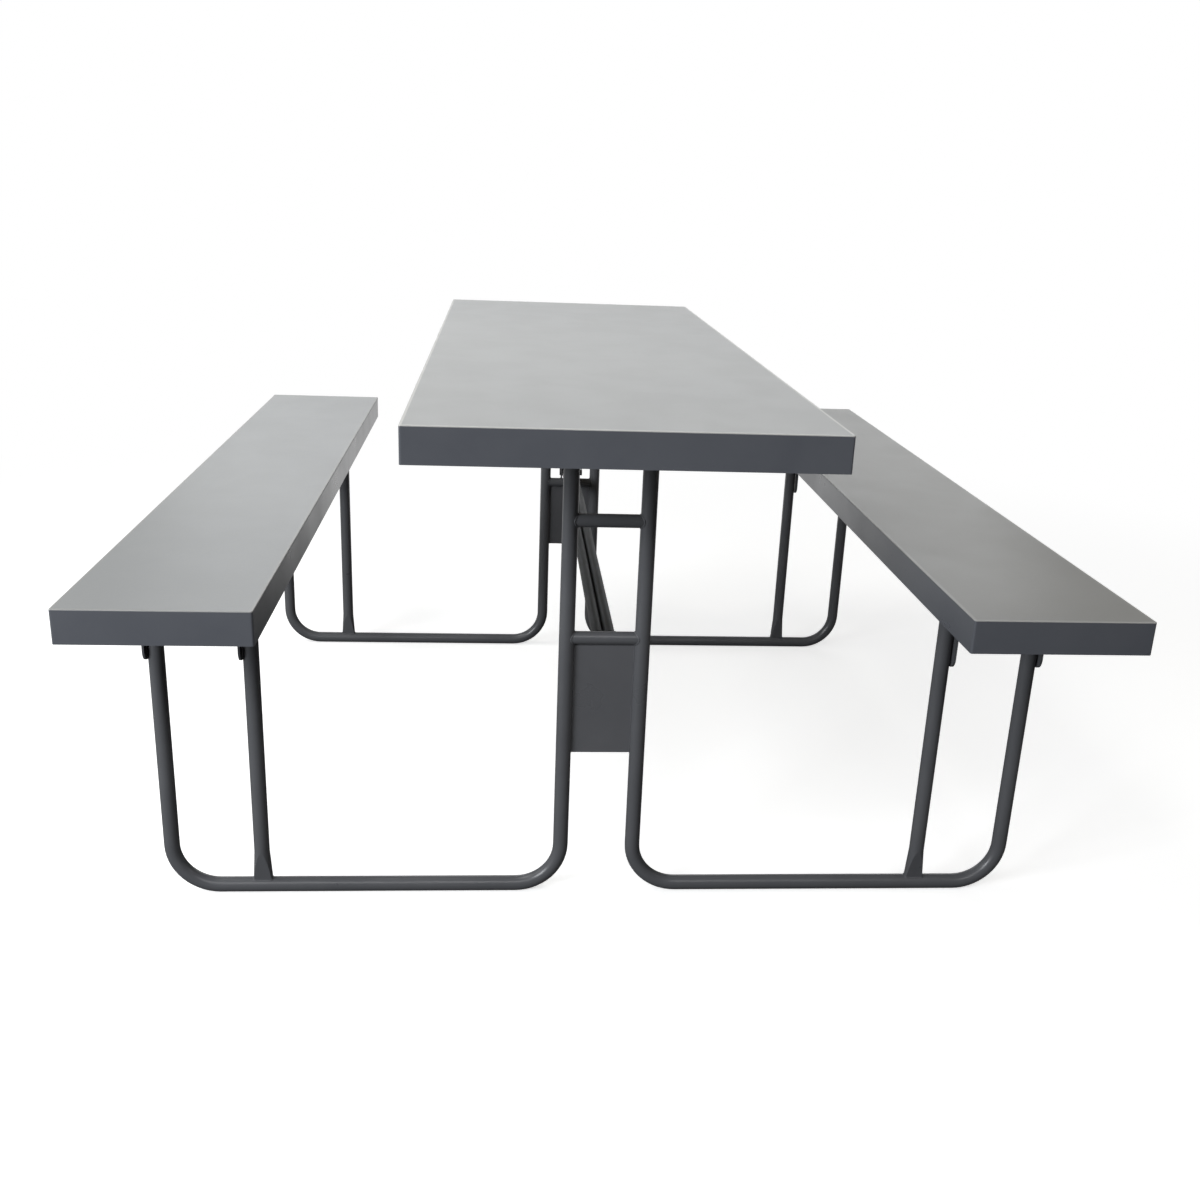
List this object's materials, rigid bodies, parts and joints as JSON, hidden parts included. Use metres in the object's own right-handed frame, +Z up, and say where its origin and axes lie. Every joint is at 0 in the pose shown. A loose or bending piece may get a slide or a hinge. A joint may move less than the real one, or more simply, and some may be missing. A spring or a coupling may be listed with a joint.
{
  "type": "folding cafeteria table with benches",
  "caption": "Long table with a bench on each side, carried by upright end frames of bent steel tube that fold flat under the tops with the stay between them.",
  "frame": {"origin": "on the floor, under the middle of the tabletop", "axes": "+X across the table, +Y along it, away from the end with the upper cross bar, +Z up"},
  "size_m": [1.354, 1.5, 0.75],
  "materials": {
    "grey_laminate": "satin",
    "board_core": "matte",
    "charcoal_paint": "gloss",
    "fastener_steel": "satin"
  },
  "bodies": {
    "front_frame": {"front_centre_plate": "charcoal_paint", "front_left_hoop": "charcoal_paint", "front_left_post": "charcoal_paint", "front_lower_bar": "charcoal_paint", "front_pivot_sleeves": "charcoal_paint", "front_right_hoop": "charcoal_paint", "front_right_post": "charcoal_paint", "front_riser_tongues": "charcoal_paint", "front_stay_bolt": "fastener_steel", "front_stay_lugs": "charcoal_paint", "front_stay_nut": "fastener_steel", "front_upper_bar": "charcoal_paint"},
    "left_bench": {"left_bench_board": "board_core", "left_bench_bolts": "fastener_steel", "left_bench_bracket_front_inner": "charcoal_paint", "left_bench_bracket_front_outer": "charcoal_paint", "left_bench_bracket_rear_inner": "charcoal_paint", "left_bench_bracket_rear_outer": "charcoal_paint", "left_bench_channel_front": "charcoal_paint", "left_bench_channel_rear": "charcoal_paint", "left_bench_nuts": "fastener_steel", "left_bench_skirt": "charcoal_paint", "left_bench_surface": "grey_laminate"},
    "rear_frame": {"rear_centre_plate": "charcoal_paint", "rear_left_hoop": "charcoal_paint", "rear_left_post": "charcoal_paint", "rear_lower_bar": "charcoal_paint", "rear_pivot_sleeves": "charcoal_paint", "rear_right_hoop": "charcoal_paint", "rear_right_post": "charcoal_paint", "rear_riser_tongues": "charcoal_paint", "rear_stay_bolt": "fastener_steel", "rear_stay_lugs": "charcoal_paint", "rear_stay_nut": "fastener_steel"},
    "right_bench": {"right_bench_board": "board_core", "right_bench_bolts": "fastener_steel", "right_bench_bracket_front_inner": "charcoal_paint", "right_bench_bracket_front_outer": "charcoal_paint", "right_bench_bracket_rear_inner": "charcoal_paint", "right_bench_bracket_rear_outer": "charcoal_paint", "right_bench_channel_front": "charcoal_paint", "right_bench_channel_rear": "charcoal_paint", "right_bench_nuts": "fastener_steel", "right_bench_skirt": "charcoal_paint", "right_bench_surface": "grey_laminate"},
    "tabletop": {"riser_bracket_front_left": "charcoal_paint", "riser_bracket_front_right": "charcoal_paint", "riser_bracket_rear_left": "charcoal_paint", "riser_bracket_rear_right": "charcoal_paint", "riser_pivot_pins": "fastener_steel", "table_apron": "charcoal_paint", "table_board": "board_core", "table_channel_front": "charcoal_paint", "table_channel_rear": "charcoal_paint", "table_surface": "grey_laminate"},
    "stay": {"stay_eye_front": "charcoal_paint", "stay_eye_rear": "charcoal_paint", "stay_tube_left": "charcoal_paint", "stay_tube_right": "charcoal_paint"}
  },
  "joints": [
    {"name": "front_frame_fold", "type": "hinge", "parent": "tabletop", "child": "front_frame", "pos_m": [0, -0.522, 0.6735], "axis": [1, 0, 0], "range_deg": [0, 90]},
    {"name": "rear_frame_fold", "type": "hinge", "parent": "tabletop", "child": "rear_frame", "pos_m": [0, 0.522, 0.6735], "axis": [1, 0, 0], "range_deg": [0, 90]},
    {"name": "left_bench_pivot", "type": "hinge", "parent": "front_frame", "child": "left_bench", "pos_m": [-0.559, -0.522, 0.465], "axis": [1, 0, 0], "range_deg": [-90, 0]},
    {"name": "right_bench_pivot", "type": "hinge", "parent": "front_frame", "child": "right_bench", "pos_m": [0.559, -0.522, 0.465], "axis": [1, 0, 0], "range_deg": [-90, 0]},
    {"name": "stay_pivot", "type": "hinge", "parent": "front_frame", "child": "stay", "pos_m": [0, -0.5027, 0.4023], "axis": [1, 0, 0], "range_deg": [-90, 0]}
  ],
  "couplings": [
    {"joint": "rear_frame_fold", "follows": "front_frame_fold", "ratio": 1},
    {"joint": "left_bench_pivot", "follows": "front_frame_fold", "ratio": -1},
    {"joint": "right_bench_pivot", "follows": "front_frame_fold", "ratio": -1},
    {"joint": "stay_pivot", "follows": "front_frame_fold", "ratio": -1}
  ]
}
